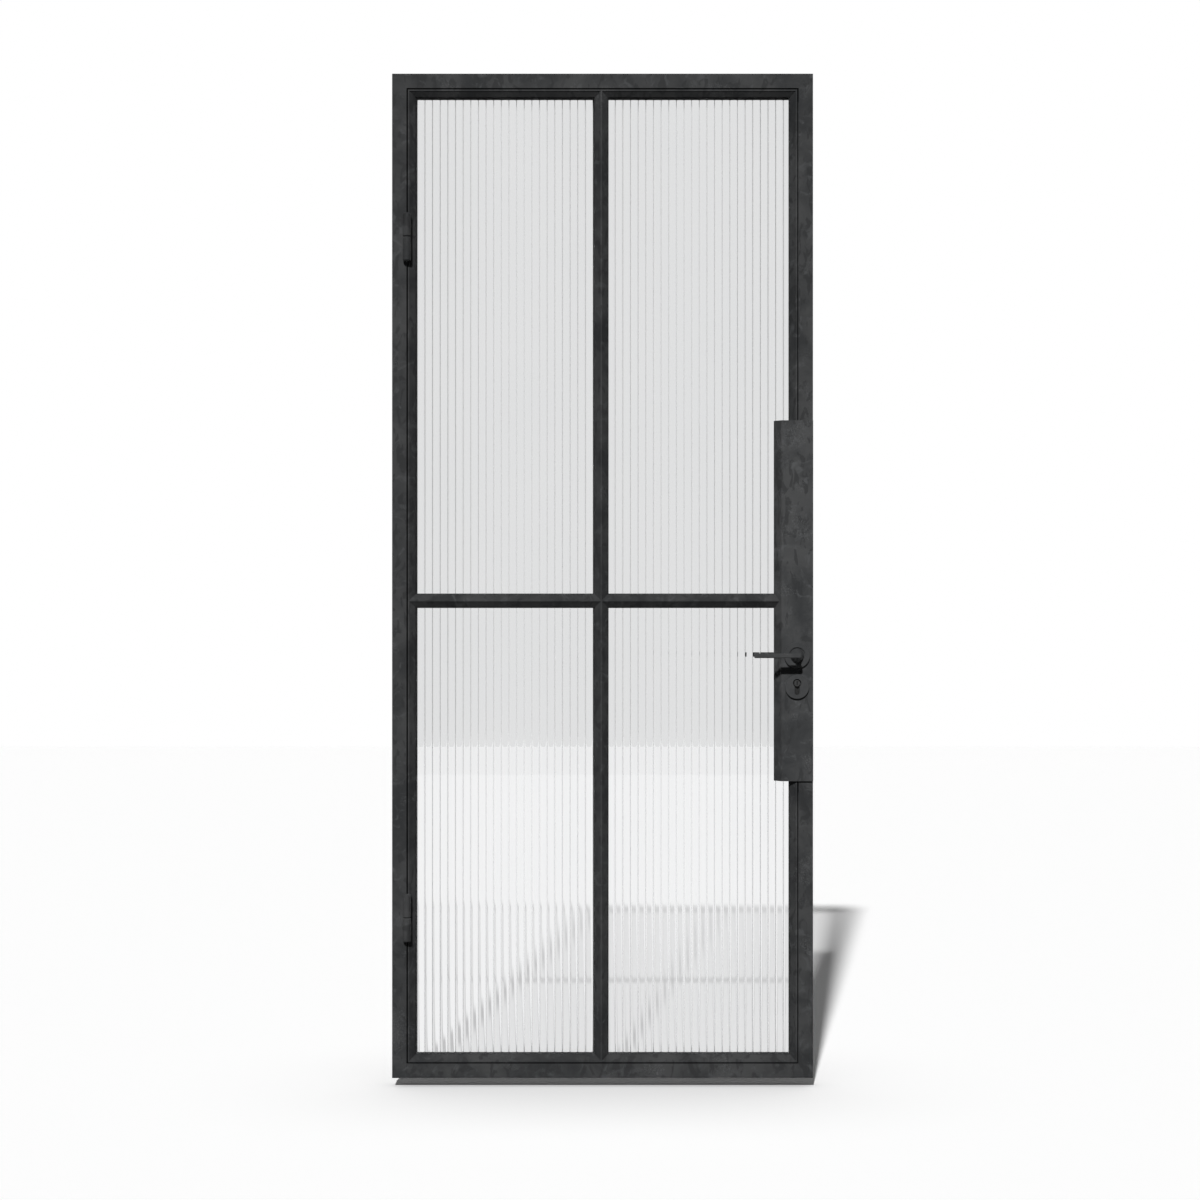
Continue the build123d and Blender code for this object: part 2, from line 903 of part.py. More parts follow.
def lever(face):
    """Straight lever on a turned neck, pointing at the hinge side."""
    bar_y = outward(face, lever_standoff, lever_standoff + lever_bar_depth)
    bar_x = (spindle_x - lever_length, spindle_x + lever_heel_radius + lever_edge)
    bar = block(bar_x, bar_y, about(spindle_height, lever_bar_height))
    upright = bar.edges().filter_by(Axis.Y).sort_by(Axis.X)
    bar = fillet(upright[2:], lever_heel_radius)
    upright = bar.edges().filter_by(Axis.Y).sort_by(Axis.X)
    bar = fillet(upright[:2], lever_tip_radius)
    outer_face = bar.faces().sort_by(Axis.Y)[0 if face == "front" else -1]
    bar = chamfer(outer_face.edges(), lever_edge)
    side = spindle_side + 2 * spindle_play
    socket = block(
        about(spindle_x, side),
        outward(face, -overrun, spindle_depth_in_neck),
        about(spindle_height, side),
    )
    return bar + lever_neck(face) - socket


def spindle():
    """Square bar that joins the two levers through the follower."""
    ends = [outward(face, 0, spindle_depth_in_neck) for face in FITTING_FACES]
    y = (ends[0][0], ends[1][1])
    side = about(spindle_x, spindle_side)
    return block(side, y, about(spindle_height, spindle_side))


def below_escutcheons(recess):
    """Span along Y that ends below the two escutcheons' faces."""
    height = escutcheon_thickness - recess
    return (plate_front - height, leaf_back + height)


cylinder_span = below_escutcheons(cylinder_recess)
plug_span = below_escutcheons(plug_recess)


def cylinder_body():
    """Profile cylinder with its plug bore, cam gap and screw hole."""
    body = euro_profile(cylinder_span, 0)
    cut = (cylinder_span[0] - overrun, cylinder_span[1] + overrun)
    body -= rod_y(plug_radius + plug_play, spindle_x, cut, cylinder_z)
    width = about(spindle_x, 2 * (cylinder_head_radius + overrun))
    top = cylinder_z + cylinder_head_radius + overrun
    body -= block(width, about(case_y, cam_gap), (bridge_top, top))
    return body - rod_x(retaining_screw_radius, width, case_y, retaining_z)


def cylinder_plug():
    """Plug with its cam and a keyway at each end, standing out of the body."""
    plug = rod_y(plug_radius, spindle_x, plug_span, cylinder_z)
    cam_y = about(case_y, cam_gap - 2 * cam_play)
    plug += rod_y(cam_hub_radius, spindle_x, cam_y, cylinder_z)
    lobe = block(about(spindle_x, cam_width), cam_y, (cylinder_z - cam_reach, cylinder_z))
    plug += lobe & rod_y(cam_reach, spindle_x, cam_y, cylinder_z)
    ends = (
        (plug_span[0] - overrun, plug_span[0] + keyway_depth),
        (plug_span[1] - keyway_depth, plug_span[1] + overrun),
    )
    for y in ends:
        plug -= block(about(spindle_x, keyway_width), y, about(cylinder_z, keyway_height))
    return plug


def knuckle(z, foot_x, bore_radius, bore_z):
    """Hinge barrel with a welded foot and a blind bore for the pin."""
    barrel = rod_z(knuckle_radius, hinge_x, hinge_y, z)
    barrel = chamfer(barrel.edges().filter_by(GeomType.CIRCLE), knuckle_edge)
    barrel += block(foot_x, (hinge_y, front), (z[0] + knuckle_edge, z[1] - knuckle_edge))
    return barrel - rod_z(bore_radius, hinge_x, hinge_y, bore_z)


def lower_knuckle(split):
    top = split - washer_thickness / 2
    jamb_edge = -half_width + face_width
    foot_x = (jamb_edge - hinge_foot_width, jamb_edge)
    bore_z = (split - pin_reach, top + overrun)
    return knuckle((top - knuckle_length, top), foot_x, pin_radius, bore_z)


def upper_knuckle(split):
    bottom = split + washer_thickness / 2
    foot_x = (leaf_rect[0], leaf_inside[0])
    bore_z = (bottom - overrun, split + pin_reach + pin_end_play)
    return knuckle((bottom, bottom + knuckle_length), foot_x, pin_radius + pin_play, bore_z)


def hinge_pin(split):
    return rod_z(pin_radius, hinge_x, hinge_y, (split - pin_reach, split + pin_reach))


def hinge_washer(split):
    z = about(split, washer_thickness)
    ring = rod_z(knuckle_radius - washer_inset, hinge_x, hinge_y, z)
    return ring - rod_z(pin_radius + pin_play, hinge_x, hinge_y, (z[0] - overrun, z[1] + overrun))


nodes = {
    "frame_head": frame_angle("top"),
    "frame_sill": frame_angle("bottom"),
    "frame_hinge_jamb": hinge_jamb(),
    "frame_lock_jamb": lock_jamb(),
    "stop_head": stop_bar("top"),
    "stop_sill": stop_bar("bottom"),
    "stop_hinge_jamb": stop_bar("left"),
    "stop_lock_jamb_upper": above_lock(stop_bar("right")),
    "stop_lock_jamb_lower": below_lock(stop_bar("right")),
    "stop_seals": stop_seals(),
    "strike_plate": strike_plate(),
    "strike_screws": strike_screws(),
    "hinge_stile": leaf_angle("left"),
    "top_rail": leaf_angle("top"),
    "bottom_rail": leaf_angle("bottom"),
    "lock_stile_upper": lock_stile((box_high, frame_height)),
    "lock_stile_lower": lock_stile((0, box_low)),
    "mullion": mullion(),
    "muntin_left": muntin_left(),
    "muntin_right": muntin_right(),
    "glazing_tapes": group([glazing_tape(pane) for pane in pane_rects]),
    "setting_blocks": setting_blocks(),
    "lock_box_shell": lock_box_shell(),
    "lock_box_edge": lock_box_edge(),
    "lock_box_cover": lock_box_cover(),
    "cover_posts": cover_posts(),
    "cover_screws": cover_screws(),
    "lock_case": lock_case(),
    "lock_case_cover": lock_case_cover(),
    "lock_forend": lock_forend(),
    "forend_screws": forend_screws(),
    "cylinder_body": cylinder_body(),
    "cylinder_screw": cylinder_screw(),
    "cylinder_plug": cylinder_plug(),
    "follower": follower(),
    "spindle": spindle(),
    "latch_bolt": latch_bolt(),
    "dead_bolt": dead_bolt(),
    "hinge_pins": group([hinge_pin(split) for split in hinge_heights]),
    "hinge_washers": group([hinge_washer(split) for split in hinge_heights]),
}
for pane in pane_rects:
    nodes[f"glass_{pane}"] = reeded_pane(pane)
    nodes[f"beads_{pane}"] = beads(pane)
for face in FITTING_FACES:
    nodes[f"rose_{face}"] = rose(face)
    nodes[f"escutcheon_{face}"] = escutcheon(face)
    nodes[f"lever_{face}"] = lever(face)
for place, split in zip(("bottom", "top"), hinge_heights):
    nodes[f"hinge_{place}_lower_knuckle"] = lower_knuckle(split)
    nodes[f"hinge_{place}_upper_knuckle"] = upper_knuckle(split)

for name, shape in nodes.items():
    export_step(shape, f"parts/{name}.step")
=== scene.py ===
import json
import math

import bpy
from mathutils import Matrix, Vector


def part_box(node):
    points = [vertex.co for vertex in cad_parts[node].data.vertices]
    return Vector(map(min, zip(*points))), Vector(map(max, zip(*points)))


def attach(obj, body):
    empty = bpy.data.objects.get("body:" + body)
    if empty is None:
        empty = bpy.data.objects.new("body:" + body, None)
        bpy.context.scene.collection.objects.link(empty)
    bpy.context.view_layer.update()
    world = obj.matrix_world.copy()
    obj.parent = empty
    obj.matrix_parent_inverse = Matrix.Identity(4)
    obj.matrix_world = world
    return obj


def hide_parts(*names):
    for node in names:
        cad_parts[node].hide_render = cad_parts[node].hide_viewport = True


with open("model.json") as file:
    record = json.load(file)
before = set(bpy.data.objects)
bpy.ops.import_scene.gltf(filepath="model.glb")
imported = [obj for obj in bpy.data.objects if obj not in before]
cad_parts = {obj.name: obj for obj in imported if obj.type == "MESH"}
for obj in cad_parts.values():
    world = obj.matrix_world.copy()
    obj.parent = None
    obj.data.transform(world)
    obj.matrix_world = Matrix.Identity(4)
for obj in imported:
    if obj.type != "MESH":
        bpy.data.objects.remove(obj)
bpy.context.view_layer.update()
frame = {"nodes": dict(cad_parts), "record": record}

NODES = frame["nodes"]
SLOTS = {row["node"]: row["material_slot"] for row in frame["record"]["subparts"]}

# Photograph: picture size and where the frame's front face lies in it, in pixels
IMAGE_SIZE = 1200
FRAME_LEFT_PX = 392.1
FRAME_RIGHT_PX = 813.0
FRAME_BOTTOM_PX = 1078.1

# Camera: distance from the front face, sensor width and the turn that sets it level
CAMERA_DISTANCE = 5.03
SENSOR_MM = 36.0
LEVEL_DEG = 90.0

# Main light: travel direction of the sun, its strength and its apparent width
SUN_TRAVEL = Vector((0.389, 2.89, -2.1))
SUN_STRENGTH = 3.1
SUN_ANGLE_DEG = 2.0

# Fills for the rear side and the edges, from the left and the right, without shadow or sheen.
# They stand so far to the rear that they don't reach the slopes of the front.
FILL_TURN_DEG = 34.0
FILL_RISE_DEG = 5.2
FILL_STRENGTH = 1.3
FILL_ANGLE_DEG = 10.0

# World: its level for each kind of ray
AMBIENT = 0.02
BACKDROP_SEEN = 1.0
MIRRORED_FRONT = 0.08
MIRRORED_BACK = 0.6
THROUGH_GLASS = 0.8

# World: backward share of a direction where the mirrored level starts to rise, and where it ends
MIRRORED_RISE_START = -0.4
MIRRORED_RISE_END = 0.6

# Floor: gap under the sill and reach around the door
FLOOR_DROP = 0.020
FLOOR_HALF_WIDTH = 18.0
FLOOR_FRONT = -9.0
FLOOR_BACK = 11.65

# Floor tone: for the light it sends back, as seen, and as seen through glass
FLOOR_ALBEDO = 0.05
FLOOR_SHOWN = 1.46
FLOOR_THROUGH_GLASS = 1.35

# Painted shade on the floor around the door's foot, as seen directly: its reach and its depth
CONTACT_REACH = 0.5
CONTACT_SHADE = 0.55

# Painted light: a glow on the floor where it is seen through glass, which pales its shadows there:
# its share and its level
PAINTED_GLOW_SHARE = 0.5
PAINTED_GLOW_LEVEL = 0.92

# Reeded glass, as the solids have it
REED_PITCH = 0.016
REED_HEIGHT = 0.0023
REED_FLAT = 0.0048
REED_START_SHARES = {"left": 0.8, "right": 0.55}

# Pane meshes: steps in the round of a reed, and the angle from which an edge is sharp
REED_STEPS = 16
GLASS_SMOOTH_DEG = 25.0
FRONT, BACK = 0, 1

# Share of the sunlight that passes a pane
PANE_PASSES = 0.64

# Points closer than this count as one
TOUCH = 1e-5

# Blackened steel: level and warmth of each tone
STEEL_DARK = (0.033, -0.045)
STEEL_PALE = (0.064, -0.015)
STEEL_STROKE = (0.03, -0.03)
STEEL_SMUDGE = (0.082, -0.03)
STEEL_VEIN = (0.15, -0.02)
STROKE_STRETCH = (1.0, 1.0, 0.45)

# Satin black of the fittings: level and warmth of each tone
SATIN_DARK = (0.05, -0.035)
SATIN_PALE = (0.066, -0.02)

# Colours of the glass between which its tint wanders
GLASS_DEEP = (0.955, 0.962, 0.968, 1.0)
GLASS_CLEAR = (0.968, 0.973, 0.978, 1.0)

# Middle of a noise value's range
NOISE_MIDDLE = 0.5

# Sockets of a Mix node: share, first value and second value, then the result
MIX_COLOUR_INPUTS = (0, 6, 7)
MIX_COLOUR_OUTPUT = 2
MIX_VALUE_INPUTS = (0, 2, 3)
MIX_VALUE_OUTPUT = 0


def connect(tree, value, socket):
    """Links a socket to an input, or sets the input to a value."""
    if isinstance(value, bpy.types.NodeSocket):
        tree.links.new(value, socket)
    else:
        socket.default_value = value


def noise(tree, place, scale, detail=4.0, roughness=0.55, distortion=0.0):
    """Noise value at a place."""
    made = tree.nodes.new("ShaderNodeTexNoise")
    connect(tree, place, made.inputs["Vector"])
    connect(tree, scale, made.inputs["Scale"])
    connect(tree, detail, made.inputs["Detail"])
    connect(tree, roughness, made.inputs["Roughness"])
    connect(tree, distortion, made.inputs["Distortion"])
    return made.outputs["Fac"]


def stretched(tree, place, scale):
    """Place with its axes scaled, so that marks draw out along the smallest."""
    made = tree.nodes.new("ShaderNodeMapping")
    tree.links.new(place, made.inputs["Vector"])
    made.inputs["Scale"].default_value = scale
    return made.outputs["Vector"]


def calculate(tree, operation, a, b=0.0):
    """Result of a sum."""
    made = tree.nodes.new("ShaderNodeMath")
    made.operation = operation
    connect(tree, a, made.inputs[0])
    connect(tree, b, made.inputs[1])
    return made.outputs[0]


def faded(tree, mask, share):
    """Mask weakened to a share."""
    return calculate(tree, "MULTIPLY", mask, share)


def ramp(tree, value, low, high):
    """Value mapped smoothly from low..high to 0..1."""
    made = tree.nodes.new("ShaderNodeMapRange")
    made.interpolation_type = "SMOOTHSTEP"
    tree.links.new(value, made.inputs["Value"])
    made.inputs["From Min"].default_value = low
    made.inputs["From Max"].default_value = high
    return made.outputs["Result"]


def spread(tree, value, low, high):
    """Value from 0..1 spread over low..high."""
    made = tree.nodes.new("ShaderNodeMapRange")
    tree.links.new(value, made.inputs["Value"])
    made.inputs["To Min"].default_value = low
    made.inputs["To Max"].default_value = high
    return made.outputs["Result"]


def mix_colour(tree, share, a, b):
    """Colour between a and b."""
    made = tree.nodes.new("ShaderNodeMix")
    made.data_type = "RGBA"
    for index, value in zip(MIX_COLOUR_INPUTS, (share, a, b)):
        connect(tree, value, made.inputs[index])
    return made.outputs[MIX_COLOUR_OUTPUT]


def mix_value(tree, share, a, b):
    """Value between a and b."""
    made = tree.nodes.new("ShaderNodeMix")
    for index, value in zip(MIX_VALUE_INPUTS, (share, a, b)):
        connect(tree, value, made.inputs[index])
    return made.outputs[MIX_VALUE_OUTPUT]


def grey(level, warmth=0.0, tone=1.0):
    """Grey colour, warm above zero and cool below, times a tone."""
    level = level * tone
    return (level * (1 + warmth), level, level * (1 - warmth), 1.0)


def bump(tree, shader, height, strength, distance):
    """Gives a shader a relief."""
    made = tree.nodes.new("ShaderNodeBump")
    tree.links.new(height, made.inputs["Height"])
    made.inputs["Strength"].default_value = strength
    made.inputs["Distance"].default_value = distance
    tree.links.new(made.outputs["Normal"], shader.inputs["Normal"])


def new_material(name):
    """Material with its node tree, shader and place on the piece."""
    material = bpy.data.materials.new(name)
    material.use_nodes = True
    tree = material.node_tree
    shader = tree.nodes["Principled BSDF"]
    place = tree.nodes.new("ShaderNodeTexCoord").outputs["Object"]
    return material, tree, shader, place


def bare_material(name):
    """Material without a shader, with its node tree and the socket for its surface."""
    material = bpy.data.materials.new(name)
    material.use_nodes = True
    tree = material.node_tree
    tree.nodes.clear()
    out = tree.nodes.new("ShaderNodeOutputMaterial")
    return material, tree, out.inputs["Surface"]


def blackened_steel(name, tone):
    """Matt blackened steel: cloudy patina, dark strokes, pale smudges and fine pale veins."""
    material, tree, shader, place = new_material(name)

    clouds = noise(tree, place, scale=11.0, detail=6.0, roughness=0.62, distortion=0.4)
    clouds = ramp(tree, clouds, low=0.32, high=0.68)
    colour = mix_colour(tree, clouds, grey(*STEEL_DARK, tone), grey(*STEEL_PALE, tone))

    drawn_out = stretched(tree, place, STROKE_STRETCH)
    strokes = noise(tree, drawn_out, scale=46.0, detail=3.0, roughness=0.5, distortion=1.2)
    strokes = faded(tree, ramp(tree, strokes, low=0.54, high=0.62), share=0.7)
    colour = mix_colour(tree, strokes, colour, grey(*STEEL_STROKE, tone))

    smudges = noise(tree, place, scale=38.0, detail=4.0, roughness=0.6, distortion=0.9)
    smudges = faded(tree, ramp(tree, smudges, low=0.54, high=0.7), share=0.75)
    colour = mix_colour(tree, smudges, colour, grey(*STEEL_SMUDGE, tone))

    veins = noise(tree, place, scale=150.0, detail=2.0, roughness=0.5, distortion=1.8)
    veins = calculate(tree, "ABSOLUTE", calculate(tree, "SUBTRACT", veins, NOISE_MIDDLE))
    veins = calculate(tree, "SUBTRACT", 1.0, ramp(tree, veins, low=0.004, high=0.035))
    patches = ramp(tree, noise(tree, place, scale=13.0, detail=2.0), low=0.6, high=0.68)
    veins = faded(tree, calculate(tree, "MULTIPLY", veins, patches), share=0.5)
    colour = mix_colour(tree, veins, colour, grey(*STEEL_VEIN, tone))
    tree.links.new(colour, shader.inputs["Base Color"])

    wear = noise(tree, place, scale=60.0, detail=6.0, roughness=0.65)
    tree.links.new(spread(tree, wear, low=0.48, high=0.68), shader.inputs["Roughness"])
    shader.inputs["Specular IOR Level"].default_value = 0.1
    bump(tree, shader, noise(tree, place, scale=700.0), strength=0.1, distance=0.0004)
    return material


def satin_black():
    """Fine satin coating of the levers, roses and escutcheons."""
    material, tree, shader, place = new_material("satin_black")
    clouds = ramp(tree, noise(tree, place, scale=40.0), low=0.3, high=0.7)
    colour = mix_colour(tree, clouds, grey(*SATIN_DARK), grey(*SATIN_PALE))
    tree.links.new(colour, shader.inputs["Base Color"])
    wear = noise(tree, place, scale=220.0)
    tree.links.new(spread(tree, wear, low=0.42, high=0.54), shader.inputs["Roughness"])
    shader.inputs["Specular IOR Level"].default_value = 0.16
    grain = noise(tree, place, scale=1600.0, detail=2.0)
    bump(tree, shader, grain, strength=0.08, distance=0.0002)
    return material


def black_metal(name, dark, pale):
    """Matt black metal of the lock cylinder, slightly rubbed."""
    material, tree, shader, place = new_material(name)
    rubbed = ramp(tree, noise(tree, place, scale=260.0, roughness=0.6), low=0.42, high=0.7)
    colour = mix_colour(tree, rubbed, grey(dark), grey(pale, warmth=-0.02))
    tree.links.new(colour, shader.inputs["Base Color"])
    tree.links.new(spread(tree, rubbed, low=0.6, high=0.45), shader.inputs["Roughness"])
    shader.inputs["Specular IOR Level"].default_value = 0.25
    bump(tree, shader, rubbed, strength=0.08, distance=0.0002)
    return material


def rubber():
    """Black rubber with a little dust."""
    material, tree, shader, place = new_material("black_rubber")
    dust = ramp(tree, noise(tree, place, scale=55.0, detail=5.0), low=0.45, high=0.8)
    colour = mix_colour(tree, dust, grey(0.012), grey(0.022, warmth=0.03))
    tree.links.new(colour, shader.inputs["Base Color"])
    tree.links.new(spread(tree, dust, low=0.7, high=0.85), shader.inputs["Roughness"])
    grain = noise(tree, place, scale=1200.0, detail=2.0)
    bump(tree, shader, grain, strength=0.15, distance=0.0003)
    return material


def block_plastic():
    """Dark plastic of the setting blocks."""
    material, tree, shader, place = new_material("block_plastic")
    clouds = noise(tree, place, scale=120.0, detail=3.0)
    colour = mix_colour(tree, clouds, grey(0.04), grey(0.06))
    tree.links.new(colour, shader.inputs["Base Color"])
    tree.links.new(spread(tree, clouds, low=0.45, high=0.6), shader.inputs["Roughness"])
    return material


def worked_metal(name, dark, pale, smooth, rough, stretch):
    """Plated or brushed metal with marks drawn out along its height."""
    material, tree, shader, place = new_material(name)
    drawn_out = stretched(tree, place, (1, 1, stretch))
    marks = noise(tree, drawn_out, scale=300.0, detail=5.0, roughness=0.6)
    stains = ramp(tree, noise(tree, place, scale=70.0), low=0.35, high=0.75)
    colour = mix_colour(tree, stains, dark, pale)
    tree.links.new(colour, shader.inputs["Base Color"])
    tree.links.new(spread(tree, marks, low=smooth, high=rough), shader.inputs["Roughness"])
    shader.inputs["Metallic"].default_value = 1.0
    bump(tree, shader, marks, strength=0.1, distance=0.0002)
    return material


def clear_glass():
    """Clear reeded glass, slightly uneven in tint."""
    material, tree, shader, place = new_material("reeded_glass")
    tint = ramp(tree, noise(tree, place, scale=3.0, detail=2.0), low=0.3, high=0.7)
    colour = mix_colour(tree, tint, GLASS_DEEP, GLASS_CLEAR)
    tree.links.new(colour, shader.inputs["Base Color"])
    shader.inputs["Roughness"].default_value = 0.0
    shader.inputs["IOR"].default_value = 1.5
    shader.inputs["Transmission Weight"].default_value = 1.0
    return material


def sun_screen():
    """Grey film that light passes without being bent."""
    material, tree, surface = bare_material("sun_screen")
    shader = tree.nodes.new("ShaderNodeBsdfTransparent")
    shader.inputs["Color"].default_value = grey(PANE_PASSES)
    tree.links.new(shader.outputs[0], surface)
    return material


MATERIALS = {
    "steel": blackened_steel("blackened_steel", tone=1.0),
    "black_fittings": satin_black(),
    "rubber": rubber(),
    "block_plastic": block_plastic(),
    "bright_steel": worked_metal(
        "zinc_plate",
        dark=grey(0.42, warmth=0.01),
        pale=grey(0.56, warmth=-0.01),
        smooth=0.3,
        rough=0.45,
        stretch=0.06,
    ),
    "lock_metal": worked_metal(
        "satin_nickel",
        dark=grey(0.5, warmth=0.04),
        pale=grey(0.62, warmth=0.03),
        smooth=0.22,
        rough=0.36,
        stretch=0.1,
    ),
    # Cylinder body nearly black, darker than the plug: partly its own black finish, partly painted
    # shade in the keyhole's leg
    "black_cylinder": black_metal("black_cylinder", dark=0.012, pale=0.03),
    "glass": clear_glass(),
}
LOCK_SHEET = blackened_steel("blackened_sheet", tone=1.2)
# Darker copy of the blackened steel for the glazing beads: painted shade on their slopes
SHADED_BEAD_STEEL = blackened_steel("blackened_bead_painted_shade", tone=0.88)
SUN_SCREEN = sun_screen()

# Solids whose finish differs from the rest of their slot; the beads' darker steel is painted shade
OWN_FINISHES = {
    "cylinder_plug": black_metal("black_plug", dark=0.028, pale=0.06),
    "lock_box_shell": LOCK_SHEET,
    "lock_box_edge": LOCK_SHEET,
    "lock_box_cover": LOCK_SHEET,
    **{name: SHADED_BEAD_STEEL for name in NODES if name.startswith("beads_")},
}


def finish_solids():
    """Gives each solid the finish of its slot, or its own."""
    for name, solid in NODES.items():
        material = OWN_FINISHES.get(name, MATERIALS[SLOTS[name]])
        if not solid.material_slots:
            solid.data.materials.append(material)
        for place in solid.material_slots:
            place.material = material


def add_object(name, data):
    """New object in the scene."""
    made = bpy.data.objects.new(name, data)
    bpy.context.scene.collection.objects.link(made)
    return made


def flat_mesh(name, corners, material):
    """One face between four corners."""
    mesh = bpy.data.meshes.new(name)
    mesh.from_pydata(corners, [], [range(len(corners))])
    mesh.materials.append(material)
    return mesh


def reed_round():
    """Radius and steepest slope of the round beside a reed's flat top."""
    width = (REED_PITCH - REED_FLAT) / 2
    radius = (width ** 2 + REED_HEIGHT ** 2) / (2 * REED_HEIGHT)
    return radius, math.asin(width / radius)


def reed_columns(low, high, side, back, notch_edges):
    """Points (x, y) along the back of a pane, reed by reed, from its left edge to its right."""
    radius, slope = reed_round()
    flat = REED_FLAT / 2
    angles = [slope * step / REED_STEPS for step in range(REED_STEPS + 1)]
    offsets = [flat + radius * math.sin(angle) for angle in angles]
    first = low + REED_PITCH * (REED_START_SHARES[side] - 1)
    reeds = range(math.ceil((high - first) / REED_PITCH))
    middles = [first + REED_PITCH * (reed + 0.5) for reed in reeds]
    turns = [middle + turn for middle in middles for step in offsets for turn in (step, -step)]
    fixed = [low, high, *notch_edges]
    places = list(fixed)
    for x in sorted(turns):
        taken = (*fixed, places[-1])
        if low < x < high and all(abs(x - other) > TOUCH for other in taken):
            places.append(x)
    columns = []
    for x in sorted(places):
        beyond = max(abs((x - first) % REED_PITCH - REED_PITCH / 2) - flat, 0.0)
        columns.append((x, back - radius + math.sqrt(radius ** 2 - beyond ** 2)))
    return columns


def pane_mesh(name, columns, front, bands):
    """Closed pane. Columns are (x, back y) points; bands are (z low, z high, number of columns)."""
    vertices = []
    faces = []
    index = {}

    def corner(column, side, z):
        key = (column, side, z)
        if key not in index:
            x, back = columns[column]
            index[key] = len(vertices)
            vertices.append((x, front if side == FRONT else back, z))
        return index[key]

    def face(*corners):
        faces.append([corner(*place) for place in corners])

    for low, high, count in bands:
        end = count - 1
        for c in range(end):
            n = c + 1
            face((c, FRONT, low), (n, FRONT, low), (n, FRONT, high), (c, FRONT, high))
            face((c, BACK, low), (c, BACK, high), (n, BACK, high), (n, BACK, low))
        face((0, FRONT, low), (0, FRONT, high), (0, BACK, high), (0, BACK, low))
        face((end, FRONT, low), (end, BACK, low), (end, BACK, high), (end, FRONT, high))
    for z in sorted({z for band in bands for z in band[:2]}):
        above = next((count for low, high, count in bands if low == z), 1)
        below = next((count for low, high, count in bands if high == z), 1)
        for c in range(min(above, below) - 1, max(above, below) - 1):
            n = c + 1
            under = [(c, FRONT, z), (c, BACK, z), (n, BACK, z), (n, FRONT, z)]
            face(*(under if above > below else reversed(under)))
    mesh = bpy.data.meshes.new(name)
    mesh.from_pydata(vertices, [], faces)
    mesh.validate()
    mesh.polygons.foreach_set("use_smooth", [True] * len(mesh.polygons))
    mesh.set_sharp_from_angle(angle=math.radians(GLASS_SMOOTH_DEG))
    mesh.update()
    return mesh


def lock_notch(name, low, high):
    """Inner edge and level of the notch that a right-hand pane has for the lock box."""
    points = [vertex.co for vertex in NODES[name].data.vertices]
    notched = high.z if "lower" in name else low.z
    edge = max(point.x for point in points if abs(point.z - notched) < TOUCH)
    levels = [point.z for point in points if low.z + TOUCH < point.z < high.z - TOUCH]
    return edge, sum(levels) / len(levels)


def pane_shade(sheet, low, high):
    """Unseen film in a pane that casts its faint shadow, because the pane itself casts none."""
    y = (low.y + high.y) / 2
    corners = [(low.x, y, low.z), (high.x, y, low.z), (high.x, y, high.z), (low.x, y, high.z)]
    mesh = flat_mesh(sheet.name + "_shade", corners, SUN_SCREEN)
    film = add_object(mesh.name, mesh)
    film.parent = sheet
    film.visible_camera = False
    film.visible_diffuse = False
    film.visible_glossy = False
    film.visible_transmission = False


def pane(row, side):
    """Finely curved reeded pane in place of the solid one."""
    name = f"glass_{row}_{side}"
    low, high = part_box(name)
    if side == "left":
        columns = reed_columns(low.x, high.x, side, high.y, ())
        bands = [(low.z, high.z, len(columns))]
    else:
        edge, level = lock_notch(name, low, high)
        columns = reed_columns(low.x, high.x, side, high.y, (edge,))
        whole = len(columns)
        part = 1 + min(range(whole), key=lambda column: abs(columns[column][0] - edge))
        counts = (whole, part) if row == "lower" else (part, whole)
        bands = [(low.z, level, counts[0]), (level, high.z, counts[1])]
    mesh = pane_mesh(name + "_fine", columns, low.y, bands)
    sheet = add_object(f"reeded_pane_{row}_{side}", mesh)
    mesh.materials.append(MATERIALS["glass"])
    sheet.visible_shadow = False
    sheet.visible_diffuse = False
    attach(sheet, "leaf")
    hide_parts(name)
    pane_shade(sheet, low, high)


def pale_floor():
    """Floor finish: pale as seen, dark to the light it would send back, with painted shade near the
    door and painted glow through glass.
    """
    material, tree, surface = bare_material("pale_floor")
    path = tree.nodes.new("ShaderNodeLightPath").outputs
    tone = mix_value(tree, path["Is Glossy Ray"], FLOOR_ALBEDO, FLOOR_SHOWN)
    tone = mix_value(tree, path["Is Transmission Ray"], tone, FLOOR_THROUGH_GLASS)
    tone = mix_value(tree, path["Is Camera Ray"], tone, FLOOR_SHOWN)
    # Painted shade: occlusion darkens the floor's colour near the door, for camera rays only
    contact = tree.nodes.new("ShaderNodeAmbientOcclusion")
    contact.inputs["Distance"].default_value = CONTACT_REACH
    shade = spread(tree, contact.outputs["AO"], 1 - CONTACT_SHADE, 1.0)
    shade = mix_value(tree, path["Is Camera Ray"], 1.0, shade)
    shader = tree.nodes.new("ShaderNodeBsdfDiffuse")
    tree.links.new(calculate(tree, "MULTIPLY", tone, shade), shader.inputs["Color"])
    # Painted light: the floor glows for rays through glass, which pales the shadows seen there
    painted_glow = tree.nodes.new("ShaderNodeEmission")
    painted_glow.inputs["Strength"].default_value = PAINTED_GLOW_LEVEL
    glow_mix = tree.nodes.new("ShaderNodeMixShader")
    share = calculate(tree, "MULTIPLY", path["Is Transmission Ray"], PAINTED_GLOW_SHARE)
    tree.links.new(share, glow_mix.inputs[0])
    tree.links.new(shader.outputs[0], glow_mix.inputs[1])
    tree.links.new(painted_glow.outputs[0], glow_mix.inputs[2])
    tree.links.new(glow_mix.outputs[0], surface)
    material.cycles.emission_sampling = "NONE"
    return material


def floor():
    """Pale floor that keeps the door's shadow."""
    z = -FLOOR_DROP
    w = FLOOR_HALF_WIDTH
    corners = [(-w, FLOOR_FRONT, z), (w, FLOOR_FRONT, z), (w, FLOOR_BACK, z), (-w, FLOOR_BACK, z)]
    plane = add_object("floor", flat_mesh("floor", corners, pale_floor()))


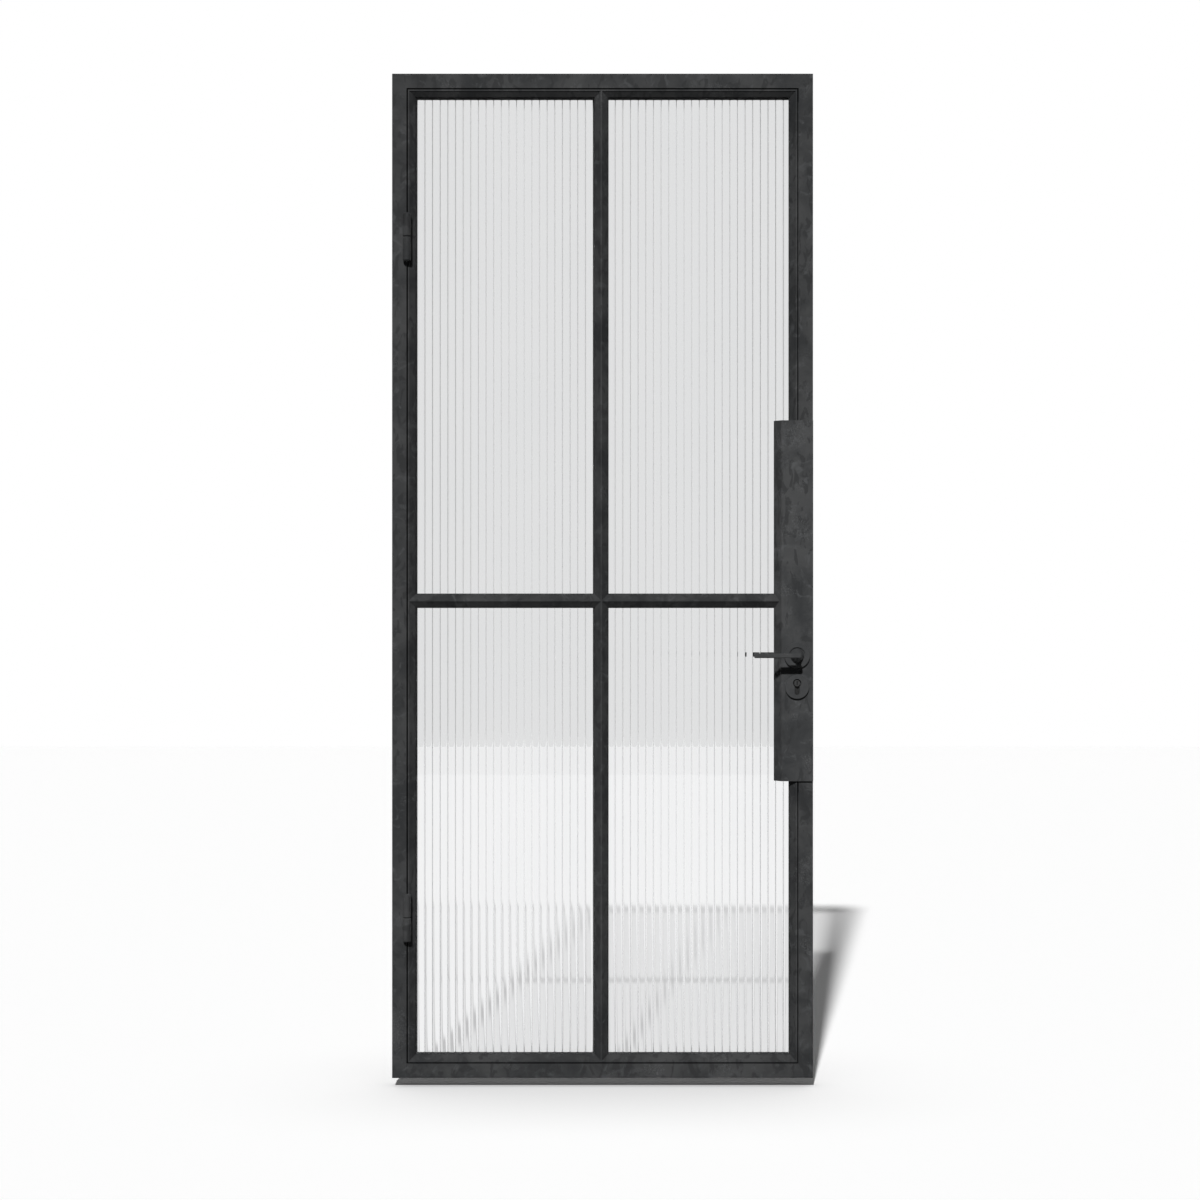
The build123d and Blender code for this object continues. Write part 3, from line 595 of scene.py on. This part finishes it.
def backdrop():
    """World: slight fill for the door, white as seen, pale through glass and in mirrored light."""
    world = bpy.data.worlds.new("studio")
    bpy.context.scene.world = world
    world.use_nodes = True
    tree = world.node_tree
    path = tree.nodes.new("ShaderNodeLightPath").outputs
    place = tree.nodes.new("ShaderNodeTexCoord").outputs["Generated"]
    direction = tree.nodes.new("ShaderNodeSeparateXYZ")
    tree.links.new(place, direction.inputs[0])
    behind = ramp(tree, direction.outputs["Y"], MIRRORED_RISE_START, MIRRORED_RISE_END)
    mirrored = spread(tree, behind, MIRRORED_FRONT, MIRRORED_BACK)
    strength = mix_value(tree, path["Is Glossy Ray"], AMBIENT, mirrored)
    strength = mix_value(tree, path["Is Transmission Ray"], strength, THROUGH_GLASS)
    strength = mix_value(tree, path["Is Camera Ray"], strength, BACKDROP_SEEN)
    background = tree.nodes["Background"]
    background.inputs["Color"].default_value = (1, 1, 1, 1)
    tree.links.new(strength, background.inputs["Strength"])


def sun(name, travel, strength, angle_deg):
    """Distant lamp that shines along a direction."""
    lamp = bpy.data.lights.new(name, "SUN")
    lamp.energy = strength
    lamp.angle = math.radians(angle_deg)
    holder = add_object(name, lamp)
    holder.rotation_euler = travel.to_track_quat("-Z", "Y").to_euler()
    return holder


def lights():
    """Sun from the front and two fills from the rear."""
    sun("sun", SUN_TRAVEL, SUN_STRENGTH, SUN_ANGLE_DEG)
    rise = math.radians(FILL_RISE_DEG)
    level = math.cos(rise)
    turns_deg = {"rear_fill_left": FILL_TURN_DEG, "rear_fill_right": -FILL_TURN_DEG}
    for name, turn_deg in turns_deg.items():
        turn = math.radians(turn_deg)
        travel = Vector((math.sin(turn) * level, -math.cos(turn) * level, -math.sin(rise)))
        fill = sun(name, travel, FILL_STRENGTH, FILL_ANGLE_DEG)
        fill.data.use_shadow = False
        fill.visible_transmission = False
        fill.visible_glossy = False


def camera():
    """Level camera, square to the door, framed as in the photograph."""
    low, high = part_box("frame_head")
    scale = (high.x - low.x) / (FRAME_RIGHT_PX - FRAME_LEFT_PX)
    middle = IMAGE_SIZE / 2
    x = (middle - (FRAME_LEFT_PX + FRAME_RIGHT_PX) / 2) * scale
    z = (FRAME_BOTTOM_PX - middle) * scale
    lens = bpy.data.cameras.new("camera")
    lens.sensor_width = SENSOR_MM
    lens.lens = SENSOR_MM * CAMERA_DISTANCE / (scale * IMAGE_SIZE)
    holder = add_object("camera", lens)
    holder.location = (x, low.y - CAMERA_DISTANCE, z)
    holder.rotation_euler = (math.radians(LEVEL_DEG), 0, 0)
    bpy.context.scene.camera = holder


bpy.context.scene.view_settings.view_transform = "Standard"
finish_solids()
for row in ("upper", "lower"):
    for side in ("left", "right"):
        pane(row, side)
floor()
backdrop()
lights()
camera()
